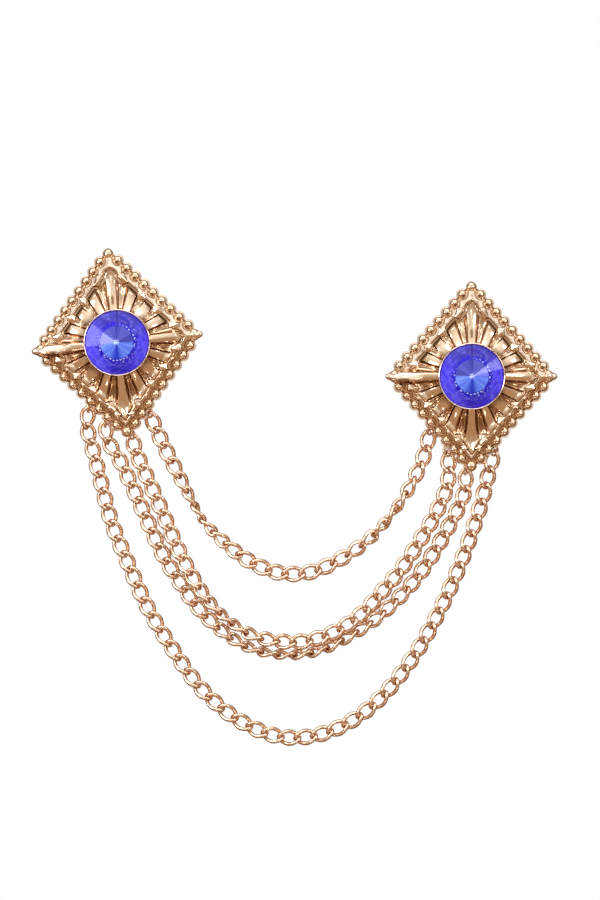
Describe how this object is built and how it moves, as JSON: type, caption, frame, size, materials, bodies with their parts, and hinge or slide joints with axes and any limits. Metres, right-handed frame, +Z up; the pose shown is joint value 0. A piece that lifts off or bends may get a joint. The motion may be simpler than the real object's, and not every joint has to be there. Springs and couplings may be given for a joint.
{
  "type": "lapel chain",
  "caption": "Pair of rhombic lapel brooches with beaded edges, fluted sunbursts and round blue stones, joined by draped curb chain strands of different lengths.",
  "frame": {"origin": "where the left brooch's pin pad seats on the cloth, on the axis of its post", "axes": "+X from the left brooch towards the right one as the wearer's front is seen, +Y from the viewer into the cloth, along the posts, +Z up"},
  "size_m": [0.1031, 0.0177, 0.0979],
  "materials": {
    "plate_gold": "polished rose gold plating with darker recesses",
    "chain_gold": "polished copper-gold plating",
    "pin_gold": "plain satin gold plating",
    "stone_blue": "faceted, foil-backed, violet blue"
  },
  "bodies": {
    "root": {"left_plate": "plate_gold", "right_plate": "plate_gold", "left_stone": "stone_blue", "right_stone": "stone_blue", "left_pin": "pin_gold", "right_pin": "pin_gold", "strand_1": "chain_gold", "strand_2": "chain_gold", "strand_3": "chain_gold", "strand_4": "chain_gold"}
  },
  "joints": []
}
